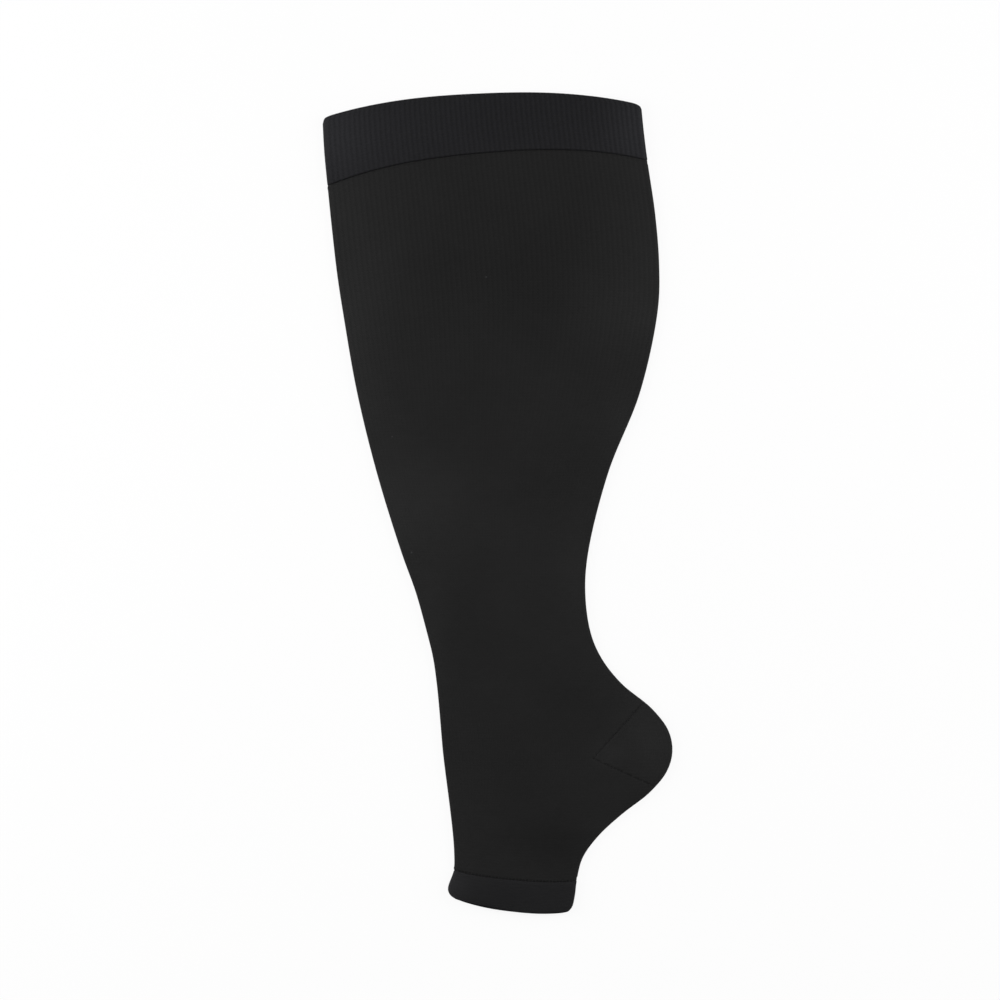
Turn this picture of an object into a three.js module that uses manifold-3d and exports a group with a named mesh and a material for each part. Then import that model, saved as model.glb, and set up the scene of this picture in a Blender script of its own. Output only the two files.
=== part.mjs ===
// An open-toe, knee-high compression stocking for a wide calf, laid flat on its side.
//
// Units are millimetres and +Z is up. The stocking lies on the plane Z = 0 with its leg along Y: the
// welt is at +Y, the open toe at -Y, the shin fold at -X, and the calf and heel fold at +X. Its two
// panels lie on each other with a thin space between them, and both ends of the tube are open.
//
// It is knitted in four pieces: a doubled welt, one tube for the leg and foot, a heel pocket set into
// the back of that tube, and a doubled toe band.

import * as THREE from 'three';
import { mergeVertices } from 'three/addons/utils/BufferGeometryUtils.js';
import Module from 'manifold-3d';

// ---- driving dimensions ----

const SEAM_GAP = 0.3;        // clearance left where two knitted pieces are linked
const LEG_WALL = 1.5;        // compression knit of the leg, foot and heel
const WELT_WALL = 2.1;       // welt turned over on itself, two layers of fine rib
const BAND_WALL = 1.9;       // toe band, turned over in the same way
const FOLD_SPACE = 0.5;      // space left inside the tube right at a side fold
const WELT_CORNER = 4.0;     // radius of the welt's two corners, seen from above
const BAND_CORNER = 4.0;     // radius of the toe band's two corners
const SWELL_POWER = 4;       // how close to the side folds the upper panel does its rising
const BOW_POWER = 2.4;       // how full the bow of a course line is

// The stocking's measuring chart, from the welt down to the toe. Each row is one knitted course as it
// lies: shinX, shinY and backX, backY are its ends at the two side folds, bow is how far its middle
// stands above the line between them, and space is the gap between the two panels at their middle.
const CHART = [
  { row: 'welt edge', shinX: -96.2, shinY: 213.4, backX: 78.9, backY: 220.6, bow: 8.6, space: 3.6 },
  { row: 'welt middle', shinX: -95.2, shinY: 194.4, backX: 80.4, backY: 205.4, bow: 9.8, space: 3.7 },
  { row: 'welt seam', shinX: -93.4, shinY: 175.4, backX: 82.4, backY: 189.4, bow: 10.8, space: 3.7 },
  { row: 'below knee', shinX: -90.8, shinY: 150.0, backX: 86.7, backY: 160.0, bow: 8.0, space: 3.8 },
  { row: 'upper calf', shinX: -88.0, shinY: 126.0, backX: 88.9, backY: 132.0, bow: 6.0, space: 3.8 },
  { row: 'widest calf', shinX: -84.7, shinY: 104.5, backX: 88.2, backY: 107.5, bow: 4.0, space: 3.8 },
  { row: 'lower calf', shinX: -77.2, shinY: 62.0, backX: 78.4, backY: 62.0, bow: 2.0, space: 3.7 },
  { row: 'calf end', shinX: -66.4, shinY: 18.0, backX: 61.0, backY: 18.0, bow: 0.0, space: 3.5 },
  { row: 'shin dip', shinX: -52.8, shinY: -26.0, backX: 49.9, backY: -26.0, bow: 0.0, space: 3.2 },
  { row: 'ankle', shinX: -44.9, shinY: -48.0, backX: 48.3, backY: -48.0, bow: 0.0, space: 3.1 },
  { row: 'low ankle', shinX: -38.8, shinY: -70.0, backX: 51.2, backY: -70.0, bow: 0.0, space: 3.1 },
  { row: 'tendon', shinX: -35.4, shinY: -84.0, backX: 57.1, backY: -84.0, bow: 0.0, space: 3.2 },
  { row: 'heel start', shinX: -33.4, shinY: -98.0, backX: 68.1, backY: -98.0, bow: 0.0, space: 3.4 },
  { row: 'heel slope', shinX: -32.0, shinY: -112.0, backX: 85.0, backY: -112.0, bow: 0.0, space: 3.6 },
  { row: 'upper heel', shinX: -31.0, shinY: -124.0, backX: 94.0, backY: -124.0, bow: 0.0, space: 3.7 },
  { row: 'heel tip', shinX: -30.0, shinY: -135.5, backX: 96.2, backY: -135.5, bow: 0.0, space: 3.7 },
  { row: 'lower heel', shinX: -28.7, shinY: -146.5, backX: 93.1, backY: -146.5, bow: 0.0, space: 3.6 },
  { row: 'sole slope', shinX: -27.2, shinY: -158.0, backX: 83.7, backY: -158.0, bow: 0.0, space: 3.4 },
  { row: 'sole', shinX: -25.7, shinY: -170.0, backX: 68.4, backY: -170.0, bow: 0.0, space: 3.1 },
  { row: 'sole dip', shinX: -24.5, shinY: -181.0, backX: 55.4, backY: -182.0, bow: -0.8, space: 2.9 },
  { row: 'foot end', shinX: -23.8, shinY: -191.0, backX: 46.8, backY: -194.0, bow: -1.6, space: 2.7 },
  { row: 'band seam', shinX: -24.0, shinY: -200.6, backX: 43.6, backY: -206.4, bow: -2.2, space: 2.5 },
  { row: 'band middle', shinX: -27.2, shinY: -211.4, backX: 42.6, backY: -214.4, bow: -2.6, space: 2.5 },
  { row: 'toe edge', shinX: -24.2, shinY: -216.8, backX: 40.6, backY: -224.2, bow: -2.6, space: 2.3 },
];

// The heel pocket is a wedge set into the back fold. Its point and its two gore lines, from above.
const HEEL_POINT = { x: 52.5, y: -139.0 };
const GORE_UP = 48;          // degrees that the upper gore line rises towards the back fold
const GORE_DOWN = -25;       // degrees that the lower gore line falls towards it
const GORE_REACH = 90;       // how far the cutting wedge runs, well past the heel

// How finely the surfaces are faceted.
const FOLD_STEPS = 5;        // facets round each side fold
const UPPER_STEPS = 14;      // facets across the upper panel
const UNDER_STEPS = 8;       // facets across the flat lower panel
const COURSE_STEP = 11;     // greatest distance between two rings along the leg
const BAND_STEP = 6;         // the same along the welt and the toe band

// ---- the chart as smooth curves ----

const shinCurve = new THREE.CatmullRomCurve3(
  CHART.map((c) => new THREE.Vector3(c.shinX, c.shinY, c.bow)));
const backCurve = new THREE.CatmullRomCurve3(
  CHART.map((c) => new THREE.Vector3(c.backX, c.backY, c.space)));

function rowIndex(name) {
  return CHART.findIndex((c) => c.row === name);
}

// One course: its two ends, its bow and its inner space, at a place counted in chart rows.
function courseAt(place) {
  const t = place / (CHART.length - 1);
  const shin = shinCurve.getPoint(t);
  const back = backCurve.getPoint(t);
  return { shin, back, bow: shin.z, space: back.z };
}

// ---- one cross-section of the flattened tube ----

// Points go round the section from the shin end of the lower panel. across runs from 0 at the shin
// fold to width at the back fold; inward is the direction from the outer skin into the cloth.
function sectionPoints(width, height, wall) {
  const radius = wall + FOLD_SPACE / 2;
  const points = [];
  const span = width - 2 * radius;

  for (let i = 0; i < UNDER_STEPS; i += 1) {
    points.push({ across: radius + (span * i) / UNDER_STEPS, z: 0, inAcross: 0, inZ: 1 });
  }
  for (let i = 0; i < FOLD_STEPS; i += 1) {
    const angle = -Math.PI / 2 + (Math.PI * i) / FOLD_STEPS;
    points.push({
      across: width - radius + radius * Math.cos(angle),
      z: radius + radius * Math.sin(angle),
      inAcross: -Math.cos(angle),
      inZ: -Math.sin(angle),
    });
  }
  for (let i = 0; i < UPPER_STEPS; i += 1) {
    const side = Math.cos((Math.PI * i) / UPPER_STEPS);
    const rise = (height - 2 * radius) * (1 - Math.abs(side) ** SWELL_POWER);
    points.push({ across: width / 2 + (side * span) / 2, z: 2 * radius + rise, inAcross: 0, inZ: -1 });
  }
  for (let i = 0; i < FOLD_STEPS; i += 1) {
    const angle = Math.PI / 2 + (Math.PI * i) / FOLD_STEPS;
    points.push({
      across: radius + radius * Math.cos(angle),
      z: radius + radius * Math.sin(angle),
      inAcross: -Math.cos(angle),
      inZ: -Math.sin(angle),
    });
  }
  return points;
}

// A ring of the tube: its outer and inner points in space. inset draws both side folds in, as at a
// rounded corner, and slide moves the whole ring along the leg.
function ringAt(place, wall, inset = 0, slide = 0) {
  const { shin, back, bow, space } = courseAt(place);
  const along = new THREE.Vector2(back.x - shin.x, back.y - shin.y);
  const width = along.length() - 2 * inset;
  along.normalize();

  const height = 2 * wall + space;
  const lay = (across, z) => {
    const from = across + inset;
    const middle = Math.abs((2 * across) / width - 1);
    const lift = bow * (1 - Math.min(middle, 1) ** BOW_POWER);
    return [shin.x + along.x * from, shin.y + along.y * from + lift + slide, z];
  };
  const outer = [];
  const inner = [];
  for (const p of sectionPoints(width, height, wall)) {
    outer.push(lay(p.across, p.z));
    inner.push(lay(p.across + p.inAcross * wall, p.z + p.inZ * wall));
  }
  return { outer, inner };
}

// How far a corner of the given radius is drawn in at a distance from the tube's end.
function cornerInset(radius, distance) {
  const left = Math.max(radius - distance, 0);
  return radius - Math.sqrt(radius * radius - left * left);
}

// ---- a tube wall from its rings ----

function tubeWall(rings) {
  const count = rings[0].outer.length;
  const positions = [];
  for (const ring of rings) positions.push(...ring.outer.flat(), ...ring.inner.flat());

  const outer = (ring, k) => ring * 2 * count + (k % count);
  const inner = (ring, k) => outer(ring, k) + count;
  const index = [];
  const quad = (a, b, c, d) => index.push(a, c, b, a, d, c);
  const last = rings.length - 1;
  for (let k = 0; k < count; k += 1) {
    for (let r = 0; r < last; r += 1) {
      quad(outer(r, k), outer(r + 1, k), outer(r + 1, k + 1), outer(r, k + 1));
      quad(inner(r, k), inner(r, k + 1), inner(r + 1, k + 1), inner(r + 1, k));
    }
    quad(inner(0, k), outer(0, k), outer(0, k + 1), inner(0, k + 1));
    quad(outer(last, k), inner(last, k), inner(last, k + 1), outer(last, k + 1));
  }
  const geometry = new THREE.BufferGeometry();
  geometry.setAttribute('position', new THREE.Float32BufferAttribute(positions, 3));
  geometry.setIndex(index);
  return geometry;
}

// Places from one chart row to another, no further apart along the leg than step.
function placesBetween(from, to, step) {
  const places = [];
  for (let row = from; row < to; row += 1) {
    const drop = courseAt(row).back.distanceTo(courseAt(row + 1).back);
    const parts = Math.max(1, Math.ceil(drop / step));
    for (let i = 0; i < parts; i += 1) places.push(row + i / parts);
  }
  places.push(to);
  return places;
}

// ---- the pieces ----

const weltSeam = rowIndex('welt seam');
const bandSeam = rowIndex('band seam');
const toeEdge = rowIndex('toe edge');

// Distances from the end of the tube at which a rounded corner gets its own rings.
const CORNER_STEPS = [0, 0.12, 0.35, 0.7, 1];

function makeWelt() {
  const rings = CORNER_STEPS.map((share) => {
    const distance = share * WELT_CORNER;
    return ringAt(0, WELT_WALL, cornerInset(WELT_CORNER, distance), -distance);
  });
  for (const place of placesBetween(0, weltSeam, BAND_STEP)) {
    if (courseAt(place).back.y < courseAt(0).back.y - WELT_CORNER - 1) {
      rings.push(ringAt(place, WELT_WALL, 0, place === weltSeam ? SEAM_GAP / 2 : 0));
    }
  }
  return tubeWall(rings);
}

function makeLegTube() {
  const rings = placesBetween(weltSeam, bandSeam, COURSE_STEP).map((place) => {
    const slide = place === weltSeam ? -SEAM_GAP / 2 : place === bandSeam ? SEAM_GAP / 2 : 0;
    return ringAt(place, LEG_WALL, 0, slide);
  });
  return tubeWall(rings);
}

function makeToeBand() {
  const rings = [];
  for (const place of placesBetween(bandSeam, toeEdge, BAND_STEP)) {
    if (place < toeEdge - 0.3) {
      rings.push(ringAt(place, BAND_WALL, 0, place === bandSeam ? -SEAM_GAP / 2 : 0));
    }
  }
  for (const share of [...CORNER_STEPS].reverse()) {
    const distance = share * BAND_CORNER;
    rings.push(ringAt(toeEdge, BAND_WALL, cornerInset(BAND_CORNER, distance), distance));
  }
  return tubeWall(rings);
}

// ---- cutting the heel pocket out of the tube ----

const wasm = await Module();
wasm.setup();

function asSolid(geometry) {
  const bare = geometry.clone();
  bare.deleteAttribute('normal');
  bare.deleteAttribute('uv');
  const merged = mergeVertices(bare, 1e-4);
  return new wasm.Manifold(new wasm.Mesh({
    numProp: 3,
    vertProperties: new Float32Array(merged.attributes.position.array),
    triVerts: new Uint32Array(merged.index.array),
  }));
}

function asGeometry(solid) {
  const mesh = solid.getMesh();
  const geometry = new THREE.BufferGeometry();
  geometry.setAttribute('position', new THREE.BufferAttribute(mesh.vertProperties, 3));
  geometry.setIndex(new THREE.BufferAttribute(mesh.triVerts, 1));
  return geometry;
}

// The wedge between the two gore lines, as an upright prism. grow moves both lines outwards.
function heelWedge(grow) {
  const up = THREE.MathUtils.degToRad(GORE_UP);
  const down = THREE.MathUtils.degToRad(GORE_DOWN);
  const middle = (up + down) / 2;
  const back = grow / Math.sin((up - down) / 2);
  const x = HEEL_POINT.x - back * Math.cos(middle);
  const y = HEEL_POINT.y - back * Math.sin(middle);
  const shape = new THREE.Shape([
    new THREE.Vector2(x, y),
    new THREE.Vector2(x + GORE_REACH * Math.cos(down), y + GORE_REACH * Math.sin(down)),
    new THREE.Vector2(x + GORE_REACH * Math.cos(up), y + GORE_REACH * Math.sin(up)),
  ]);
  const prism = new THREE.ExtrudeGeometry(shape, { depth: 30, bevelEnabled: false });
  return prism.translate(0, 0, -10);
}

const legTube = asSolid(makeLegTube());
const legAndFoot = legTube.subtract(asSolid(heelWedge(SEAM_GAP / 2)));
const heelPocket = legTube.intersect(asSolid(heelWedge(-SEAM_GAP / 2)));

// ---- the finished stocking ----

const blackKnit = { color: '#232325', roughness: 0.92, metalness: 0 };
const stocking = new THREE.Group();

function addPiece(name, geometry) {
  geometry.computeVertexNormals();
  const mesh = new THREE.Mesh(geometry, new THREE.MeshStandardMaterial(blackKnit));
  mesh.name = name;
  stocking.add(mesh);
}

addPiece('top_welt', makeWelt());
addPiece('leg_and_foot', asGeometry(legAndFoot));
addPiece('heel_pocket', asGeometry(heelPocket));
addPiece('toe_band', makeToeBand());

// The origin is under the middle of the whole stocking, on the surface it lies on.
const bounds = new THREE.Box3().setFromObject(stocking);
const centre = bounds.getCenter(new THREE.Vector3());
for (const piece of stocking.children) {
  piece.position.set(-centre.x, -centre.y, -bounds.min.z);
}

export default stocking;
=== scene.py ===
import math

import bmesh
import bpy
import numpy as np
from mathutils import Matrix, Vector


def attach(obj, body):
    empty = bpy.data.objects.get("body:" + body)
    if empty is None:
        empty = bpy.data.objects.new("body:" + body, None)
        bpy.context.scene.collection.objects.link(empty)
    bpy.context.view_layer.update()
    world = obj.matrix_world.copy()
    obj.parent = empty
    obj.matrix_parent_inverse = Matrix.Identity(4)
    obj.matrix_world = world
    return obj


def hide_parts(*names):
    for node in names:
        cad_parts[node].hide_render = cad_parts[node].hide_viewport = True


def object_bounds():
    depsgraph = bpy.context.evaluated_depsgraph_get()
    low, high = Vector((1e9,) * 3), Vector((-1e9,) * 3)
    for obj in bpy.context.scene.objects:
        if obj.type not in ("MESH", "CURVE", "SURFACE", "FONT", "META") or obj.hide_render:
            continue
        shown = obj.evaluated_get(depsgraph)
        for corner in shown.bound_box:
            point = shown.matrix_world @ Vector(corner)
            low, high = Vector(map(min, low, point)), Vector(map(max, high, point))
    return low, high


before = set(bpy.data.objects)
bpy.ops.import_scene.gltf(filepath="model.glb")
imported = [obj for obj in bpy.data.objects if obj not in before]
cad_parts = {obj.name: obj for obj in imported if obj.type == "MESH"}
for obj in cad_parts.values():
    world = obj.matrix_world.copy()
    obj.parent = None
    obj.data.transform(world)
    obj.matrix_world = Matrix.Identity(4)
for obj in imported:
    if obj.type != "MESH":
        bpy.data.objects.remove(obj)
CAD_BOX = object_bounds()

# An open-toe compression stocking laid flat: a ribbed welt, the leg and foot, a heel pocket, a toe band.
# All lengths below are in millimetres, and MM turns them into Blender's metres.
MM = 0.001

# ---- sizes of the cloth ----
LEG_WALL = 1.4           # compression knit as it lies
WELT_WALL = 2.1          # welt, turned double
BAND_WALL = 1.9          # toe band, turned double
FOLD_SPACE = 0.6         # space inside the tube at a side fold
SWELL_POWER = 4          # how close to the side folds the upper panel rises
BOW_POWER = 2.4          # how full the bow of a course line is
WELT_CORNER = 4.0
BAND_CORNER = 4.0
SEAM_GAP = 0.04          # the linked edges are drawn all but touching
SEAM_DIP = 0.20          # how far the cloth turns down into a linked seam
SEAM_DIP_WIDTH = 1.6
GORE_DIP = 0.10          # the same along the heel pocket's gore lines
GORE_DIP_WIDTH = 1.3
STITCH_REACH = 0.9       # half the width of a linking stitch
STITCH_THREAD = 0.17     # radius of its thread
STITCH_PITCH = 2.0
STITCH_SUNK = 0.54       # how far its foot lies below the cloth's skin, so that its back is flush

HEM_STEPS = 6            # steps round a turned hem
SEAM_HEM = 0.4           # how far a hem rounds where it is pulled flat by the linking
WALES_PER_PANEL = 62     # raised ribs across one panel, about 2.8 mm apart at the welt
WALES_PER_FOLD = 2
COURSE_PITCH = 1.5       # rows of loops, drawn a little coarser than they are knitted
RIB_DEPTH = 0.22         # height of the welt's ribs from crest to groove
RIBS_FULL = 60           # distance below the welt's edge to which the ribs stay firm
RIBS_GONE = 190          # distance at which they have faded into the plain knit

# The measuring chart, from the welt to the toe: the ends of a course at the shin and back folds, the
# bow of the course between them, and the space between the two panels.
CHART = {
    "welt edge": (-96.2, 213.4, 78.9, 220.6, 8.6, 3.6),
    "welt middle": (-95.2, 194.4, 80.4, 205.4, 9.8, 3.7),
    "welt seam": (-93.4, 175.4, 82.4, 189.4, 10.8, 3.7),
    "below knee": (-90.8, 150.0, 86.7, 160.0, 8.0, 3.8),
    "upper calf": (-88.0, 126.0, 88.9, 132.0, 6.0, 3.8),
    "widest calf": (-84.7, 104.5, 88.2, 107.5, 4.0, 3.8),
    "lower calf": (-77.2, 62.0, 78.4, 62.0, 2.0, 3.7),
    "calf end": (-66.4, 18.0, 61.0, 18.0, 0.0, 3.5),
    "shin dip": (-52.8, -26.0, 49.9, -26.0, 0.0, 3.2),
    "ankle": (-44.9, -48.0, 48.3, -48.0, 0.0, 3.1),
    "low ankle": (-38.8, -70.0, 51.2, -70.0, 0.0, 3.1),
    "tendon": (-35.4, -84.0, 57.1, -84.0, 0.0, 3.2),
    "heel start": (-33.4, -98.0, 68.1, -98.0, 0.0, 3.4),
    "heel slope": (-32.0, -112.0, 85.0, -112.0, 0.0, 3.6),
    "upper heel": (-31.0, -124.0, 94.0, -124.0, 0.0, 3.7),
    "heel tip": (-30.0, -135.5, 96.2, -135.5, 0.0, 3.7),
    "lower heel": (-28.7, -146.5, 93.1, -146.5, 0.0, 3.6),
    "sole slope": (-27.2, -158.0, 83.7, -158.0, 0.0, 3.4),
    "sole": (-25.7, -170.0, 68.4, -170.0, 0.0, 3.1),
    "sole dip": (-24.5, -181.0, 55.4, -182.0, -0.8, 2.9),
    "foot end": (-23.8, -191.0, 46.8, -194.0, -1.6, 2.7),
    "band seam": (-24.0, -200.6, 43.6, -206.4, -2.2, 2.5),
    "band middle": (-27.2, -211.4, 42.6, -214.4, -2.6, 2.5),
    "toe edge": (-24.2, -216.8, 40.6, -224.2, -2.6, 2.3),
}
ROWS = list(CHART)
TABLE = np.array([CHART[name] for name in ROWS])

# The heel pocket's point and its two gore lines, as directions in degrees.
HEEL_POINT = (52.5, -139.0)
GORE_UP = 48
GORE_DOWN = -25
PAST_POINT = 2.5         # how far behind the point the cloth is divided
UPPER_SKIN = 2.2         # heights that tell the upper panel's skin from the under panel's
UNDER_SKIN = 0.5

# How fine the patterns of the knit are, as a count to the metre.
CLOUDS = 17.0            # cloudy patches, about 59 mm
LINT = 45.0              # places that can hold a pale fibre, about 22 mm apart
WANDERS = 90.0           # sideways drift of a wale, about 11 mm
FUZZ = 1400.0            # yarn fuzz, about 0.7 mm
TWISTS = 2200.0          # twist of the linking thread, about 0.45 mm

# Stitches across one panel, and round one side fold.
WELT_STITCHES = 86
BAND_STITCHES = 34
FOLD_STITCHES = 3

FLOOR_SIZE = 60          # metres, so that its edge isn't seen from low down
FLOOR_DROP = 0.0002      # metres under the cloth
FLOOR_GLOW = 0.9         # how much of the floor's look is its own white

# Soft puffs and hollows of the upper panel: where, how long and wide, how high, and which way they run.
FOLDS = (
    # x, y, length, width, height, turn
    (-58, 100, 60, 20, 1.3, 96),
    (-66, 38, 40, 15, 0.9, 110),
    (-34, 2, 42, 16, 1.5, 140),
    (66, 98, 34, 18, 1.3, 70),
    (46, 118, 26, 12, 0.7, 20),
    (-20, 150, 90, 26, -0.8, 95),
    (10, 90, 70, 22, -0.6, 80),
    (38, -40, 30, 11, 0.8, 80),
    (6, -30, 60, 14, -0.4, 100),
    (76, -128, 20, 11, 1.2, 55),
    (60, -142, 12, 7, 0.7, 15),
    (44, -176, 16, 8, 0.8, 50),
    (20, -186, 20, 9, -0.6, 20),
    (-12, -110, 40, 10, 0.5, 95),
    (20, -120, 36, 12, -0.4, 100),
    (-86, 200, 14, 14, 0.8, 80),
    (66, 208, 18, 14, 1.0, 80),
    (-4, 212, 40, 9, -0.5, 8),
    (-58, 194.6, 20, 2.2, -0.4, 11),
)

# Painted light and shade: lighter and darker places painted on the cloth, standing in for the light on
# its rounded sides and heel pocket and the shade of its middle. The form and the lights don't make them.
# Each has its middle, how far it reaches across and along, and how much of the cloth's lightness it adds.
PAINTED_LIGHT_AND_SHADE = {
    "welt": (
        # x, y, reach_x, reach_y, amount
        (-90, 202, 26, 20, 0.42),
        (76, 206, 15, 20, 0.40),
        (-50, 208, 20, 12, 0.10),
        (20, 215, 40, 16, -0.08),
    ),
    "leg": (
        (-92, 168, 16, 16, 0.12),
        (-84, 88, 24, 44, 0.34),
        (-50, -6, 36, 26, 0.40),
        (-20, 10, 30, 20, 0.10),
        (72, 104, 34, 19, 0.32),
        (84, 140, 12, 24, 0.12),
        (72, 44, 12, 30, 0.14),
        (44, -40, 12, 22, 0.14),
        (12, 150, 50, 50, -0.16),
        (30, 105, 34, 26, -0.12),
        (-36, -66, 9, 40, 0.12),
        (0, -60, 50, 50, 0.05),
        (14, -122, 22, 20, -0.08),
        (54, -176, 14, 9, 0.14),
        (28, -186, 16, 12, -0.20),
    ),
    "heel": (
        (62, -136, 9, 8, 0.22),
        (84, -130, 14, 16, 0.30),
    ),
    "band": (
        (-28, -208, 10, 14, 0.55),
        (10, -206, 50, 4, 0.10),
        (44, -212, 5, 12, 0.10),
    ),
}
FOLD_PAINTED_LIGHT = 0.10         # painted light: how much lighter the cloth is painted along its side folds


# ---- the flattened tube as a smooth surface ----
def row(name):
    return ROWS.index(name)


def along_curve(columns, place):
    """Chart columns at a place between rows, on a smooth curve through the rows."""
    data = TABLE[:, columns]
    here = int(min(max(math.floor(place), 0), len(data) - 2))
    share = place - here
    p1, p2 = data[here], data[here + 1]
    p0 = data[here - 1] if here > 0 else 2 * p1 - p2
    p3 = data[here + 2] if here + 2 < len(data) else 2 * p2 - p1
    d0, d1, d2 = (max(np.linalg.norm(b - a), 1e-4) ** 0.5 for a, b in ((p0, p1), (p1, p2), (p2, p3)))
    t1 = ((p1 - p0) / d0 - (p2 - p0) / (d0 + d1) + (p2 - p1) / d1) * d1
    t2 = ((p2 - p1) / d1 - (p3 - p1) / (d1 + d2) + (p3 - p2) / d2) * d1
    c2 = -3 * p1 + 3 * p2 - 2 * t1 - t2
    c3 = 2 * p1 - 2 * p2 + t1 + t2
    return p1 + t1 * share + c2 * share ** 2 + c3 * share ** 3


def course(place):
    shin_x, shin_y, bow = along_curve([0, 1, 4], place)
    back_x, back_y, space = along_curve([2, 3, 5], place)
    return np.array([shin_x, shin_y]), np.array([back_x, back_y]), bow, space


class Around:
    """Stations round the tube: under panel, back fold, upper panel, shin fold."""

    def __init__(self, under, fold, upper):
        counts = (under, fold, upper, fold)
        self.part = np.repeat(np.arange(4), counts)
        self.share = np.concatenate([np.arange(n) / n for n in counts])
        wales = np.array([WALES_PER_PANEL, WALES_PER_FOLD, WALES_PER_PANEL, WALES_PER_FOLD])
        before = np.concatenate([[0], np.cumsum(wales)[:-1]])
        self.wale = before[self.part] + self.share * wales[self.part]
        self.all_wales = wales.sum()
        self.count = len(self.part)


def section(around, width, height, wall):
    """One cross-section: distance across, height, and the direction into the cloth."""
    radius = wall + FOLD_SPACE / 2
    span = width - 2 * radius
    s, part = around.share, around.part
    side = 2 * s - 1
    rise = (height - 2 * radius) * (1 - np.abs(side) ** SWELL_POWER)
    angle = np.where(part == 1, -math.pi / 2 + math.pi * s, math.pi / 2 + math.pi * s)
    across = np.select(
        [part == 0, part == 1, part == 2],
        [radius + span * s, width - radius + radius * np.cos(angle), width - radius - span * s],
        radius + radius * np.cos(angle))
    z = np.select([part == 0, part == 2], [0 * s, 2 * radius + rise], radius + radius * np.sin(angle))
    flat = (part == 0) | (part == 2)
    in_across = np.where(flat, 0, -np.cos(angle))
    in_z = np.where(part == 0, 1, np.where(part == 2, -1, -np.sin(angle)))
    return across, z, in_across, in_z


def puffs(x, y):
    """Height that the soft puffs and hollows add to the upper panel."""
    total = np.zeros_like(x)
    for at_x, at_y, length, width, height, turn in FOLDS:
        c, s = math.cos(math.radians(turn)), math.sin(math.radians(turn))
        run, off = (x - at_x) * c + (y - at_y) * s, (y - at_y) * c - (x - at_x) * s
        total += height * np.exp(-(run / length) ** 2 - (off / width) ** 2)
    return total


def ring(around, place, wall, depth=0.0, slide=0.0, inset=0.0, rib=0.0):
    """Points of one ring. depth goes into the cloth from its outer skin, rib stands out on its crests."""
    shin, back, bow, space = course(place)
    line = back - shin
    width = np.linalg.norm(line) - 2 * inset
    line = line / np.linalg.norm(line)
    across, z, in_across, in_z = section(around, width, 2 * wall + space, wall)
    middle = np.clip(np.abs(2 * across / width - 1), 0, 1)
    lift = bow * (1 - middle ** BOW_POWER) + slide
    crest = 0.5 + 0.5 * np.cos(2 * math.pi * around.wale)
    inward = depth + rib * (1 - crest)
    across = across + inset
    x = shin[0] + line[0] * across
    y = shin[1] + line[1] * across + lift
    soft = np.where(around.part == 2, np.sin(math.pi * around.share) ** 0.5, 0)
    z = z + soft * puffs(x, y)
    x = x + in_across * inward * line[0]
    y = y + in_across * inward * line[1]
    return np.stack([x, y, z + in_z * inward], axis=1)


# ---- meshes from rings ----
def grid_mesh(name, rings, around, lengths, closed, painted_light_spots):
    """A mesh of quads from rings of points, with one UV map counted in wales and courses."""
    points = np.concatenate(rings) * MM
    rows, n = len(rings), around.count
    k = np.arange(n)
    k2 = (k + 1) % n
    last = rows if closed else rows - 1
    faces = []
    for r in range(last):
        a, b = r * n, ((r + 1) % rows) * n
        faces.append(np.stack([a + k, a + k2, b + k2, b + k], axis=1))
    faces = np.concatenate(faces)
    mesh = bpy.data.meshes.new(name)
    mesh.from_pydata(points.tolist(), [], faces.tolist())
    uv = mesh.uv_layers.new(name="knit")
    u0 = np.tile(around.wale, last)
    u1 = np.tile(np.append(around.wale[1:], around.all_wales), last)
    v = np.asarray(lengths) / COURSE_PITCH
    v0 = np.repeat(v[:last], n)
    v1 = np.repeat(np.append(v, v[0])[1:last + 1], n)
    corner = np.stack([u0, v0, u1, v0, u1, v1, u0, v1], axis=1)
    uv.data.foreach_set("uv", corner.ravel())
    # painted light, lighter towards the side folds, where rounded sides would catch the light
    edge = np.abs(2 * around.share - 1) ** 3
    near_fold = np.where((around.part == 0) | (around.part == 2), edge, 1.0)
    shade = 1 + FOLD_PAINTED_LIGHT * np.tile(near_fold, rows)
    # painted highlights and shade at the listed spots
    for x, y, reach_x, reach_y, amount in painted_light_spots:
        off = ((points[:, 0] / MM - x) / reach_x) ** 2 + ((points[:, 1] / MM - y) / reach_y) ** 2
        shade += amount * np.exp(-off)
    mesh.attributes.new("shade", "FLOAT", "POINT").data.foreach_set("value", shade)
    mesh.update()
    piece = bpy.data.objects.new(name, mesh)
    bpy.context.collection.objects.link(piece)
    return piece


def finish_piece(piece, material, slot, *nodes):
    piece.data.materials.clear()
    piece.data.materials.append(material)
    piece.data.polygons.foreach_set("use_smooth", [True] * len(piece.data.polygons))
    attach(piece, "root")
    if nodes:
        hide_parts(*nodes)


def places(start, end, step):
    """Places from one chart row to another, about step millimetres apart along the leg."""
    out = []
    for here in range(start, end):
        gap = np.linalg.norm(course(here)[1] - course(here + 1)[1])
        parts = max(1, math.ceil(gap / step))
        out += [here + i / parts for i in range(parts)]
    return out + [end]


def leg_length(place):
    """Distance down the middle of the leg, which counts the knitted courses."""
    shin, back, bow, _ = course(place)
    return TABLE[0, 1] - (shin[1] + back[1]) / 2


def corner_inset(radius, distance):
    left = max(radius - distance, 0)
    return radius - math.sqrt(radius * radius - left * left)


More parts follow.
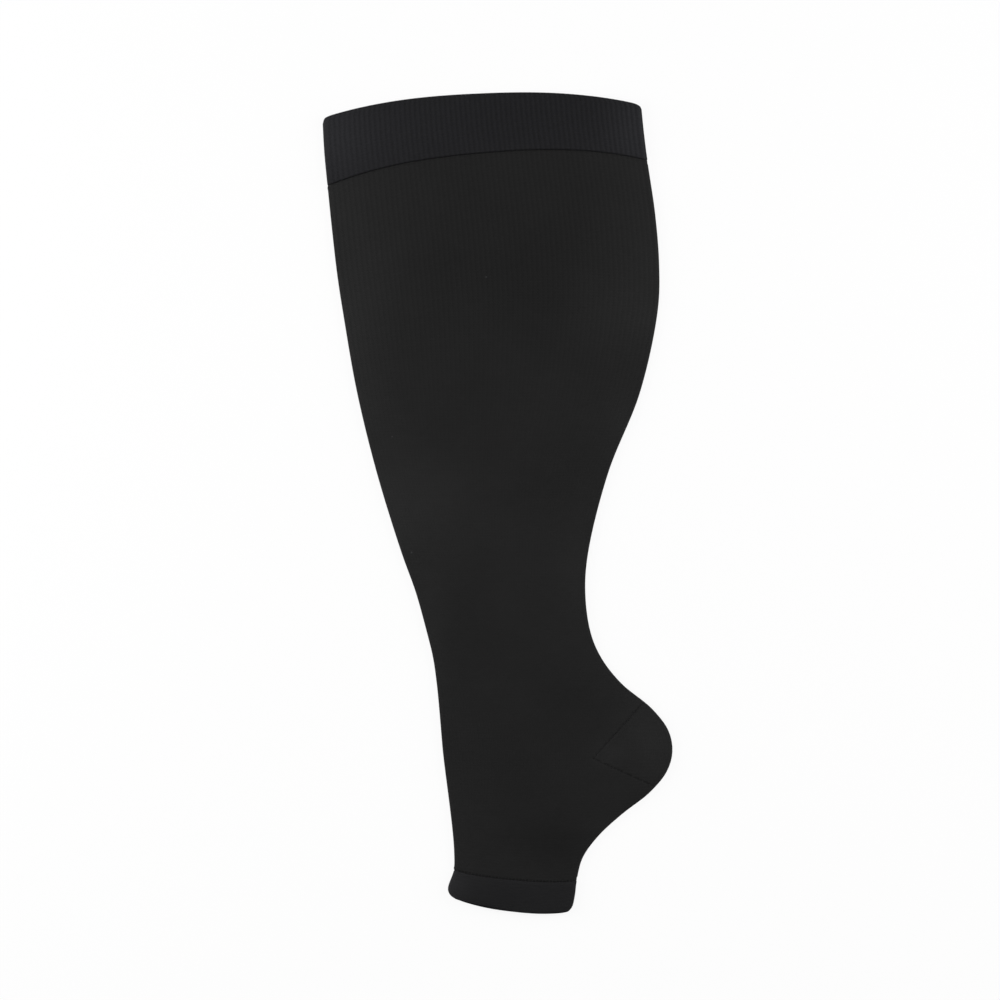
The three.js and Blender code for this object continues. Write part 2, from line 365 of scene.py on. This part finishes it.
def doubled_tube(name, around, start, end, wall, rounded_end, corner, step, rib, painted_light_spots):
    """A band turned over on itself: outer skin, rounded hem, inner skin and rounded hem in one loop."""
    half = wall / 2
    top_y = leg_length(start)
    end_y = leg_length(end)

    def one(place, depth, slide, rib_here):
        reach = leg_length(place) - slide
        from_corner = reach - top_y if rounded_end == "start" else end_y - reach
        inset = corner_inset(corner, max(from_corner, 0))
        return ring(around, place, wall, depth, slide, inset, rib_here), reach

    rows = []
    steps = places(start, end, step)
    for place in steps[1:-1]:
        rows.append((place, 0, 0, rib))
    for i in range(HEM_STEPS + 1):
        share = i / HEM_STEPS
        angle = math.pi * share
        hem = half if rounded_end == "end" else SEAM_HEM
        slide = hem * (1 - math.sin(angle)) + SEAM_GAP / 2
        rows.append((end, half * (1 - math.cos(angle)), slide, rib * (1 - share)))
    for place in steps[-2:0:-3]:
        rows.append((place, wall, 0, 0))
    for i in range(HEM_STEPS + 1):
        share = i / HEM_STEPS
        angle = math.pi * share
        hem = half if rounded_end == "start" else SEAM_HEM
        slide = -hem * (1 - math.sin(angle)) - SEAM_GAP / 2
        rows.append((start, half * (1 + math.cos(angle)), slide, rib * share))
    made = [one(*r) for r in rows]
    return grid_mesh(name, [m[0] for m in made], around, [m[1] for m in made], True, painted_light_spots)


def gore_side(x, y, angle):
    """Signed distance from a gore line, positive on its upper side."""
    a = math.radians(angle)
    return (y - HEEL_POINT[1]) * math.cos(a) - (x - HEEL_POINT[0]) * math.sin(a)


def in_front(x, y, angle):
    a = math.radians(angle)
    return (x - HEEL_POINT[0]) * math.cos(a) + (y - HEEL_POINT[1]) * math.sin(a)


def split_heel(piece):
    """Cuts the tube along both gore lines and parts it into the leg and the heel pocket."""
    bm = bmesh.new()
    bm.from_mesh(piece.data)
    for angle in (GORE_UP, GORE_DOWN):
        a = math.radians(angle)
        normal = Vector((-math.sin(a), math.cos(a), 0))
        for offset in (-GORE_DIP_WIDTH, -SEAM_GAP / 2, SEAM_GAP / 2, GORE_DIP_WIDTH):
            faces = [f for f in bm.faces
                     if in_front(*[c / MM for c in f.calc_center_median()[:2]], angle) > -PAST_POINT]
            parts = set(faces)
            for f in faces:
                parts.update(f.edges)
                parts.update(f.verts)
            point = Vector((HEEL_POINT[0] * MM, HEEL_POINT[1] * MM, 0)) + normal * (offset * MM)
            bmesh.ops.bisect_plane(bm, geom=list(parts), dist=1e-7, plane_co=point, plane_no=normal)
    heel, gap = set(), []
    for f in bm.faces:
        x, y = (c / MM for c in f.calc_center_median()[:2])
        up, down = gore_side(x, y, GORE_UP), gore_side(x, y, GORE_DOWN)
        near_up = abs(up) < SEAM_GAP / 2 and in_front(x, y, GORE_UP) > -0.1
        near_down = abs(down) < SEAM_GAP / 2 and in_front(x, y, GORE_DOWN) > -0.1
        if near_up or near_down:
            gap.append(f)
        elif up < 0 < down:
            heel.add(f.index)
    for v in bm.verts:
        x, y = v.co.x / MM, v.co.y / MM
        for angle in (GORE_UP, GORE_DOWN):
            if in_front(x, y, angle) > -0.5:
                off = abs(gore_side(x, y, angle))
                if off < GORE_DIP_WIDTH:
                    sink = GORE_DIP * (1 - off / GORE_DIP_WIDTH) * MM
                    if v.co.z > UPPER_SKIN * MM:
                        v.co.z -= sink
                    elif v.co.z < UNDER_SKIN * MM:
                        v.co.z += sink
    bm.faces.ensure_lookup_table()
    kinds = {f: ("heel" if f.index in heel else "leg") for f in bm.faces}
    for f in gap:
        kinds[f] = "gap"
    out = {}
    for want in ("leg", "heel"):
        copy = bm.copy()
        copy.faces.ensure_lookup_table()
        drop = [cf for cf, f in zip(copy.faces, bm.faces) if kinds[f] != want]
        bmesh.ops.delete(copy, geom=drop, context="FACES")
        mesh = bpy.data.meshes.new(want)
        copy.to_mesh(mesh)
        copy.free()
        out[want] = mesh
    bm.free()
    return out["leg"], out["heel"]


def thicken(piece, wall):
    bpy.ops.object.select_all(action="DESELECT")
    piece.select_set(True)
    bpy.context.view_layer.objects.active = piece
    shell = piece.modifiers.new("cloth", "SOLIDIFY")
    shell.thickness = wall * MM
    shell.offset = -1
    bpy.ops.object.modifier_apply(modifier=shell.name)


# ---- materials ----
def linear(hex_colour):
    out = []
    for i in (1, 3, 5):
        c = int(hex_colour[i:i + 2], 16) / 255
        out.append(c / 12.92 if c <= 0.04045 else ((c + 0.055) / 1.055) ** 2.4)
    return (*out, 1.0)


def add(tree, kind, settings=None, links=None):
    """Adds a node. settings sets its properties or inputs, and links joins its inputs to sockets."""
    node = tree.nodes.new(kind)
    for key, value in (settings or {}).items():
        if isinstance(key, str) and hasattr(node, key):
            setattr(node, key, value)
        else:
            node.inputs[key].default_value = value
    for key, socket in (links or {}).items():
        tree.links.new(socket, node.inputs[key])
    return node


def knit(name, colour, rib, loop, groove_painted_shade, mottle, sheen, stretch=1.0):
    """Knitted nylon and elastane: matt, faintly sheened, with raised wales and rows of loops.
    rib and loop are the depths in millimetres of the wales and of the loops."""
    material = bpy.data.materials.new(name)
    material.use_nodes = True
    tree = material.node_tree
    tree.nodes.clear()
    out = add(tree, "ShaderNodeOutputMaterial")
    place = add(tree, "ShaderNodeUVMap", {"uv_map": "knit"})
    xyz = add(tree, "ShaderNodeSeparateXYZ", links={0: place.outputs["UV"]})
    object_place = add(tree, "ShaderNodeTexCoord").outputs["Object"]

    def maths(operation, a, b=None):
        node = add(tree, "ShaderNodeMath", {"operation": operation})
        for i, value in enumerate((a, b)):
            if value is None:
                continue
            if isinstance(value, (int, float)):
                node.inputs[i].default_value = value
            else:
                tree.links.new(value, node.inputs[i])
        return node.outputs[0]

    # wales: one crest for each whole number of u, a little uneven down their length
    wander = add(tree, "ShaderNodeTexNoise", {"Scale": WANDERS, "Detail": 1.0}, {"Vector": object_place})
    u = maths("ADD", xyz.outputs["X"], maths("MULTIPLY", wander.outputs["Fac"], 0.22))
    wale = maths("COSINE", maths("MULTIPLY", u, 2 * math.pi))
    wale01 = maths("MULTIPLY_ADD", wale, 0.5)
    tree.nodes[-1].inputs[2].default_value = 0.5
    # the ribs are firm at the welt and fade out down the calf
    fade = add(tree, "ShaderNodeMapRange", {1: RIBS_FULL / COURSE_PITCH, 2: RIBS_GONE / COURSE_PITCH,
                                            3: 1.0, 4: 0.25}, {0: xyz.outputs["Y"]})
    ribs = maths("MULTIPLY", wale01, fade.outputs[0])
    # loops: rows of slanting legs, which make the small V of a knitted stitch
    legs = maths("PINGPONG", maths("MULTIPLY", u, 2), 0.5)
    v = maths("ADD", maths("MULTIPLY", xyz.outputs["Y"], stretch), maths("MULTIPLY", legs, 0.9))
    loops = maths("SINE", maths("MULTIPLY", v, 2 * math.pi))
    loops01 = maths("MULTIPLY_ADD", loops, 0.5)
    tree.nodes[-1].inputs[2].default_value = 0.5
    # yarn fuzz
    fuzz = add(tree, "ShaderNodeTexNoise", {"Scale": FUZZ, "Detail": 3.0}, {"Vector": object_place})

    height = maths("ADD", maths("MULTIPLY", ribs, rib), maths("MULTIPLY", loops01, loop))
    height = maths("ADD", height, maths("MULTIPLY", fuzz.outputs["Fac"], 0.05))
    bump = add(tree, "ShaderNodeBump", {"Strength": 1.0, "Distance": MM}, {"Height": height})

    # colour: painted shade in the grooves of wales and loops, cloudy over the piece, with a rare pale fibre
    cloud = add(tree, "ShaderNodeTexNoise", {"Scale": CLOUDS, "Detail": 4.0, "Roughness": 0.6},
                {"Vector": object_place})
    # painted light and shade, carried on the mesh, scales the knit's tone
    shade = add(tree, "ShaderNodeAttribute", {"attribute_name": "shade"}).outputs["Fac"]
    # painted shade: crests of the wales and loops lighter, their grooves darker
    tone = maths("ADD", maths("MULTIPLY", ribs, groove_painted_shade), maths("MULTIPLY", loops01, 0.5 * groove_painted_shade))
    tone = maths("ADD", tone, maths("MULTIPLY", cloud.outputs["Fac"], mottle))
    tone = maths("ADD", tone, maths("MULTIPLY", fuzz.outputs["Fac"], 0.25))
    tone = maths("ADD", tone, 1.0 - 0.75 * groove_painted_shade - 0.5 * mottle - 0.125)
    tone = maths("MULTIPLY", tone, shade)
    tinted = add(tree, "ShaderNodeMix", {"data_type": "RGBA", "blend_type": "MULTIPLY"})
    tinted.inputs[0].default_value = 1.0
    tinted.inputs[6].default_value = linear(colour)
    grey = add(tree, "ShaderNodeCombineColor", links={0: tone, 1: tone, 2: tone})
    tree.links.new(grey.outputs[0], tinted.inputs[7])
    specks = add(tree, "ShaderNodeTexVoronoi", {"Scale": LINT}, {"Vector": object_place})
    speck = maths("LESS_THAN", specks.outputs["Distance"], 0.02)
    lint = add(tree, "ShaderNodeMix", {"data_type": "RGBA"}, {0: maths("MULTIPLY", speck, 0.5)})
    tree.links.new(tinted.outputs[2], lint.inputs[6])
    lint.inputs[7].default_value = linear("#434344")

    shader = add(tree, "ShaderNodeBsdfPrincipled", {
        "Roughness": 0.9, "IOR": 1.5, "Specular IOR Level": 0.12,
        "Sheen Weight": sheen, "Sheen Roughness": 0.5, "Sheen Tint": linear("#8a8a8c"),
    }, {"Base Color": lint.outputs[2], "Normal": bump.outputs[0]})
    tree.links.new(shader.outputs[0], out.inputs["Surface"])
    return material


def thread(name, colour):
    """Fine textured yarn that links the edges: matt, twisted too finely to see."""
    material = bpy.data.materials.new(name)
    material.use_nodes = True
    tree = material.node_tree
    shader = tree.nodes["Principled BSDF"]
    place = add(tree, "ShaderNodeTexCoord")
    twist = add(tree, "ShaderNodeTexNoise", {"Scale": TWISTS, "Detail": 2.0},
                {"Vector": place.outputs["Object"]})
    tint = add(tree, "ShaderNodeMix", {"data_type": "RGBA"}, {0: twist.outputs["Fac"]})
    tint.inputs[6].default_value = linear(colour)
    tint.inputs[7].default_value = linear("#262626")
    bump = add(tree, "ShaderNodeBump", {"Strength": 0.6, "Distance": 0.05 * MM},
               {"Height": twist.outputs["Fac"]})
    shader.inputs["Roughness"].default_value = 0.85
    shader.inputs["Specular IOR Level"].default_value = 0.15
    tree.links.new(tint.outputs[2], shader.inputs["Base Color"])
    tree.links.new(bump.outputs[0], shader.inputs["Normal"])
    return material


# mock rib of nylon and elastane: fine upright lines of light and shade
RIB_KNIT = knit("ribbed_nylon_knit", "#1c1c1e", rib=0.06, loop=0.10,
                groove_painted_shade=0.26, mottle=0.35, sheen=0.03)
# firm circular knit: an even, dull black with faint wales
LEG_KNIT = knit("compression_nylon_knit", "#1d1d1d", rib=0.09, loop=0.08,
                groove_painted_shade=0.18, mottle=0.5, sheen=0.03)
# plain knit of the heel: a touch lighter and smoother
HEEL_KNIT = knit("plain_heel_knit", "#1d1d1d", rib=0.07, loop=0.10,
                 groove_painted_shade=0.16, mottle=0.5, sheen=0.03, stretch=0.8)
# close elastic knit: the smoothest of the four
BAND_KNIT = knit("elastic_band_knit", "#1c1c1d", rib=0.04, loop=0.07,
                 groove_painted_shade=0.15, mottle=0.3, sheen=0.03)
THREAD = thread("linking_thread", "#1c1c1c")


# ---- the pieces ----
def make_welt():
    around = Around(under=WALES_PER_PANEL * 6, fold=16, upper=WALES_PER_PANEL * 8)
    piece = doubled_tube("ribbed_welt", around, 0, row("welt seam"), WELT_WALL, "start",
                         WELT_CORNER, step=1.7, rib=RIB_DEPTH, painted_light_spots=PAINTED_LIGHT_AND_SHADE["welt"])
    finish_piece(piece, RIB_KNIT, "rib_knit", "top_welt")
    return piece


def end_turns(i, total):
    """At each end of the tube, the cloth turns down into the linked seam."""
    turns = ((0.0, SEAM_DIP), (0.35, 0.35 * SEAM_DIP), (0.9, 0.08 * SEAM_DIP), (SEAM_DIP_WIDTH, 0.0))
    if i == 0:
        return [(-SEAM_GAP / 2 - d, s) for d, s in turns]
    if i == total - 1:
        return [(SEAM_GAP / 2 + d, s) for d, s in reversed(turns)]
    return [(0.0, 0.0)]


def make_leg_and_heel():
    around = Around(under=70, fold=8, upper=176)
    start, end = row("welt seam"), row("band seam")
    rows, lengths = [], []
    steps = places(start, end, 3.2)
    total = len(steps)
    for i, place in enumerate(steps):
        for slide, sink in end_turns(i, total):
            rows.append(ring(around, place, LEG_WALL, sink, slide))
            lengths.append(leg_length(place) - slide)
    tube = grid_mesh("leg_tube", rows, around, lengths, False, PAINTED_LIGHT_AND_SHADE["leg"] + PAINTED_LIGHT_AND_SHADE["heel"])
    leg_mesh, heel_mesh = split_heel(tube)
    bpy.data.objects.remove(tube)
    leg = bpy.data.objects.new("leg_and_foot_knit", leg_mesh)
    heel = bpy.data.objects.new("heel_pocket_knit", heel_mesh)
    for piece in (leg, heel):
        bpy.context.collection.objects.link(piece)
        thicken(piece, LEG_WALL)
    finish_piece(leg, LEG_KNIT, "leg_knit", "leg_and_foot")
    finish_piece(heel, HEEL_KNIT, "heel_knit", "heel_pocket")
    return leg, heel


def make_band():
    around = Around(under=90, fold=12, upper=150)
    piece = doubled_tube("turned_toe_band", around, row("band seam"), row("toe edge"), BAND_WALL,
                         "end", BAND_CORNER, step=1.6, rib=0.0, painted_light_spots=PAINTED_LIGHT_AND_SHADE["band"])
    finish_piece(piece, BAND_KNIT, "band_knit", "toe_band")
    return piece


# ---- linking stitches ----
def model_stitch():
    """One overcast stitch across a seam: the upper half of a small ring of thread, pressed flat."""
    bpy.ops.object.select_all(action="DESELECT")
    bpy.ops.mesh.primitive_torus_add(major_segments=12, minor_segments=6, major_radius=STITCH_REACH * MM,
                                     minor_radius=STITCH_THREAD * MM, rotation=(math.pi / 2, 0, 0))
    stitch = bpy.context.object
    bpy.ops.object.transform_apply(location=True, rotation=True, scale=True)
    bpy.ops.object.mode_set(mode="EDIT")
    bpy.ops.mesh.select_all(action="SELECT")
    bpy.ops.mesh.bisect(plane_co=(0, 0, 0), plane_no=(0, 0, 1), clear_inner=True, use_fill=True)
    bpy.ops.mesh.select_all(action="SELECT")
    bpy.ops.transform.resize(value=(1, 1, 0.5), center_override=(0, 0, 0))
    bpy.ops.object.mode_set(mode="OBJECT")
    points = np.array([v.co[:] for v in stitch.data.vertices])
    faces = [tuple(f.vertices) for f in stitch.data.polygons]
    bpy.data.objects.remove(stitch)
    return points, faces


def stitch_row(name, spots, slot):
    """Copies of the stitch along a seam. A spot is a point, the seam's direction and the cloth's normal."""
    points, faces = STITCH
    all_points, all_faces = [], []
    for point, along, normal in spots:
        along, normal = along / np.linalg.norm(along), normal / np.linalg.norm(normal)
        across = np.cross(along, normal)
        axes = np.stack([across, along, normal])
        start = len(all_points) * len(points)
        all_points.append(points @ axes + np.asarray(point) * MM)
        all_faces += [tuple(start + i for i in f) for f in faces]
    mesh = bpy.data.meshes.new(name)
    mesh.from_pydata(np.concatenate(all_points).tolist(), [], all_faces)
    mesh.update()
    piece = bpy.data.objects.new(name, mesh)
    bpy.context.collection.objects.link(piece)
    finish_piece(piece, THREAD, slot)
    return piece


def ring_spots(place, wall, depth, stitches):
    """Spots for stitches all round the tube at one course."""
    around = Around(under=stitches, fold=FOLD_STITCHES, upper=stitches)
    points = ring(around, place, wall, depth)
    shin, back, _, space = course(place)
    width = np.linalg.norm(back - shin)
    line = (back - shin) / width
    _, _, in_across, in_z = section(around, width, 2 * wall + space, wall)
    ahead = np.roll(points, -1, axis=0) - np.roll(points, 1, axis=0)
    return [(p, a, (-i * line[0], -i * line[1], -z)) for p, a, i, z in zip(points, ahead, in_across, in_z)]


def gore_spots():
    """Spots along both gore lines, on the upper and the under panel, from the point to the back fold."""
    heights = [(course(i / 4)[0][1] + course(i / 4)[1][1]) / 2 for i in range(4 * len(ROWS) - 3)]
    spots = []
    for angle in (GORE_UP, GORE_DOWN):
        c, s = math.cos(math.radians(angle)), math.sin(math.radians(angle))
        for step in range(1, 60):
            x, y = HEEL_POINT[0] + c * step * STITCH_PITCH, HEEL_POINT[1] + s * step * STITCH_PITCH
            place = np.interp(-y, [-h for h in heights], np.arange(len(heights)) / 4)
            shin, back, _, space = course(place)
            width, radius = back[0] - shin[0], LEG_WALL + FOLD_SPACE / 2
            side = 2 * (x - shin[0] - radius) / (width - 2 * radius) - 1
            if side > 0.99:
                break
            top = 2 * radius + (2 * LEG_WALL + space - 2 * radius) * (1 - abs(side) ** SWELL_POWER)
            top += float(puffs(np.array([x]), np.array([y]))[0])
            spots.append(((x, y, top - STITCH_SUNK), np.array((c, s, 0)), np.array((0, 0, 1.0))))
            spots.append(((x, y, STITCH_SUNK), np.array((c, s, 0)), np.array((0, 0, -1.0))))
    return spots


STITCH = model_stitch()


def centre_on_frame(pieces, small):
    """Moves the pieces from the chart's own origin to the frame's, by the middles of both boxes."""
    corners = np.array([v for piece in pieces for v in piece.bound_box])
    own = (corners.min(axis=0) + corners.max(axis=0)) / 2
    frame_middle = (Vector(CAD_BOX[0]) + Vector(CAD_BOX[1])) / 2
    for piece in pieces + small:
        piece.data.transform(Matrix.Translation((frame_middle.x - own[0], frame_middle.y - own[1], 0)))


welt = make_welt()
leg, heel = make_leg_and_heel()
band = make_band()
stitches = [
    stitch_row("welt_linking",
               ring_spots(row("welt seam"), LEG_WALL, STITCH_SUNK, WELT_STITCHES), "rib_knit"),
    stitch_row("toe_band_linking",
               ring_spots(row("band seam"), BAND_WALL, STITCH_SUNK, BAND_STITCHES), "band_knit"),
    stitch_row("heel_gore_linking", gore_spots(), "heel_knit"),
]
bpy.context.view_layer.update()
centre_on_frame([welt, leg, heel, band], stitches)


# ---- floor, light and camera ----
def make_floor():
    bpy.ops.object.select_all(action="DESELECT")
    bpy.ops.mesh.primitive_plane_add(size=FLOOR_SIZE, location=(0, 0, -FLOOR_DROP))
    floor = bpy.context.object
    floor.name = "pale_floor"
    material = bpy.data.materials.new("pale_floor")
    material.use_nodes = True
    tree = material.node_tree
    tree.nodes.clear()
    out = add(tree, "ShaderNodeOutputMaterial")
    matt = add(tree, "ShaderNodeBsdfDiffuse", {"Color": linear("#f4f4f4")})
    glow = add(tree, "ShaderNodeEmission", {"Color": (1, 1, 1, 1), "Strength": 1.0})
    path = add(tree, "ShaderNodeLightPath")
    seen = add(tree, "ShaderNodeMath", {"operation": "MAXIMUM"},
               {0: path.outputs["Is Camera Ray"], 1: path.outputs["Is Glossy Ray"]})
    seen = add(tree, "ShaderNodeMath", {"operation": "MAXIMUM"},
               {0: seen.outputs[0], 1: path.outputs["Is Transmission Ray"]})
    share = add(tree, "ShaderNodeMath", {"operation": "MULTIPLY", 1: FLOOR_GLOW}, {0: seen.outputs[0]})
    mix = add(tree, "ShaderNodeMixShader",
              links={0: share.outputs[0], 1: matt.outputs[0], 2: glow.outputs[0]})
    tree.links.new(mix.outputs[0], out.inputs["Surface"])
    floor.data.materials.append(material)


def soft_light(name, place, size, power, target=(0, 0, 0)):
    lamp = bpy.data.lights.new(name, "AREA")
    lamp.shape = "RECTANGLE"
    lamp.size, lamp.size_y = size
    lamp.energy = power
    holder = bpy.data.objects.new(name, lamp)
    holder.location = place
    aim = Vector(target) - Vector(place)
    holder.rotation_euler = aim.to_track_quat("-Z", "Y").to_euler()
    bpy.context.collection.objects.link(holder)


def make_light_and_camera():
    world = bpy.data.worlds.new("studio")
    bpy.context.scene.world = world
    world.use_nodes = True
    world.node_tree.nodes["Background"].inputs[0].default_value = (1, 1, 1, 1)
    world.node_tree.nodes["Background"].inputs[1].default_value = 0.22
    soft_light("left_softbox", (-1.1, 0.15, 0.36), (0.6, 1.4), 15)
    soft_light("right_softbox", (1.1, 0.25, 0.36), (0.6, 1.4), 12)
    soft_light("overhead_softbox", (0.0, 0.4, 2.2), (1.6, 1.6), 15)
    camera = bpy.data.cameras.new("camera")
    view = bpy.data.objects.new("camera", camera)
    bpy.context.collection.objects.link(view)
    distance, seen_width = 1.6, 0.5488
    camera.sensor_width = 36
    camera.lens = camera.sensor_width * distance / seen_width
    low, high = CAD_BOX
    middle_x, middle_y = (low[0] + high[0]) / 2, (low[1] + high[1]) / 2
    view.location = (middle_x + 1.3 * MM, middle_y + 1.8 * MM, distance + high[2] / 2)
    bpy.context.scene.camera = view
    bpy.context.scene.view_settings.view_transform = "Standard"


make_floor()
make_light_and_camera()
